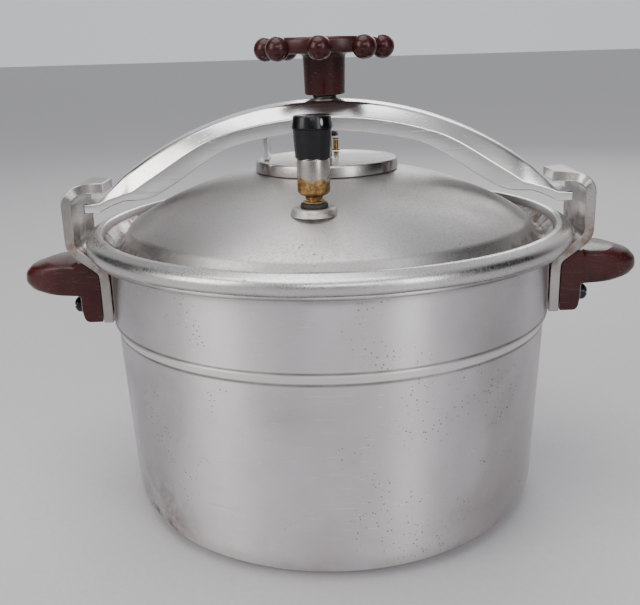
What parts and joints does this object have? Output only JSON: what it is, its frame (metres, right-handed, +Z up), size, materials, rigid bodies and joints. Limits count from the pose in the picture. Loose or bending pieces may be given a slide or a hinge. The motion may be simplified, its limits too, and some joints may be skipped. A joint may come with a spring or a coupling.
{
  "type": "pressure canner",
  "caption": "Round aluminium pressure pot with a domed lid held by a clamp arch under two hooks, a star knob on a screw, a weighted vent valve and side handles.",
  "frame": {"origin": "centre of the pot's flat underside, on the surface it stands on", "axes": "+Z up along the screw, X along the clamp arch and the two handles, -Y the front, where the vent valve stands"},
  "size_m": [0.328, 0.25, 0.2404],
  "materials": {
    "pot_aluminium": "satin, worn, brushed around the pot",
    "lid_aluminium": "dull satin, pitted",
    "polished_steel": "polished, worn",
    "bracket_steel": "worn plating with rust spots",
    "bakelite": "dark maroon, glossy",
    "black_plastic": "black, semi-gloss",
    "brass": "tarnished, brown where it gets hot",
    "dark_steel": "dull, slightly oiled",
    "rubber": "matt"
  },
  "bodies": {
    "root": {"pot_body": "pot_aluminium", "left_hook_bracket": "bracket_steel", "left_handle": "bakelite", "left_handle_screw": "black_plastic", "right_hook_bracket": "bracket_steel", "right_handle": "bakelite", "right_handle_screw": "black_plastic", "left_rivet_1": "dark_steel", "left_rivet_2": "dark_steel", "left_rivet_3": "dark_steel", "right_rivet_1": "dark_steel", "right_rivet_2": "dark_steel", "right_rivet_3": "dark_steel"},
    "lid": {"lid_shell": "lid_aluminium", "lid_gasket": "rubber", "vent_stem": "brass", "vent_seal": "rubber", "vent_nut": "brass"},
    "foot": {"pressure_disc": "polished_steel", "disc_guide_ear": "polished_steel", "disc_stop_pin": "brass", "stop_pin_tip": "dark_steel", "disc_washer": "polished_steel"},
    "screw": {"clamp_spindle": "dark_steel", "star_knob": "bakelite", "knob_washer": "polished_steel", "knob_nut": "polished_steel"},
    "arch": {"clamp_arch": "polished_steel", "arch_nut": "dark_steel"},
    "weight_lift": {"valve_needle": "dark_steel"},
    "weight": {"valve_weight": "brass", "valve_cap": "black_plastic"}
  },
  "joints": [
    {"name": "lid_turn", "type": "hinge", "parent": "root", "child": "lid", "pos_m": [0, 0, 0.1407], "axis": [0, 0, 1], "continuous": true},
    {"name": "clamp_turn", "type": "hinge", "parent": "lid", "child": "foot", "pos_m": [0, 0, 0.176], "axis": [0, 0, 1], "range_deg": [-60, 60]},
    {"name": "knob_turn", "type": "hinge", "parent": "foot", "child": "screw", "pos_m": [0, 0, 0.2], "axis": [0, 0, 1], "range_deg": [-144.2, 540.2]},
    {"name": "arch_slide", "type": "slide", "parent": "foot", "child": "arch", "axis": [0, 0, 1], "range_m": [-0.0045, 0.0012]},
    {"name": "weight_raise", "type": "slide", "parent": "lid", "child": "weight_lift", "axis": [0, 0, 1], "range_m": [0, 0.012]},
    {"name": "weight_turn", "type": "hinge", "parent": "weight_lift", "child": "weight", "pos_m": [-0.0059, -0.0703, 0.17], "axis": [0, 0, 1], "continuous": true}
  ],
  "couplings": [
    {"joint": "knob_turn", "follows": "arch_slide", "rad_per_m": -2094.4}
  ]
}
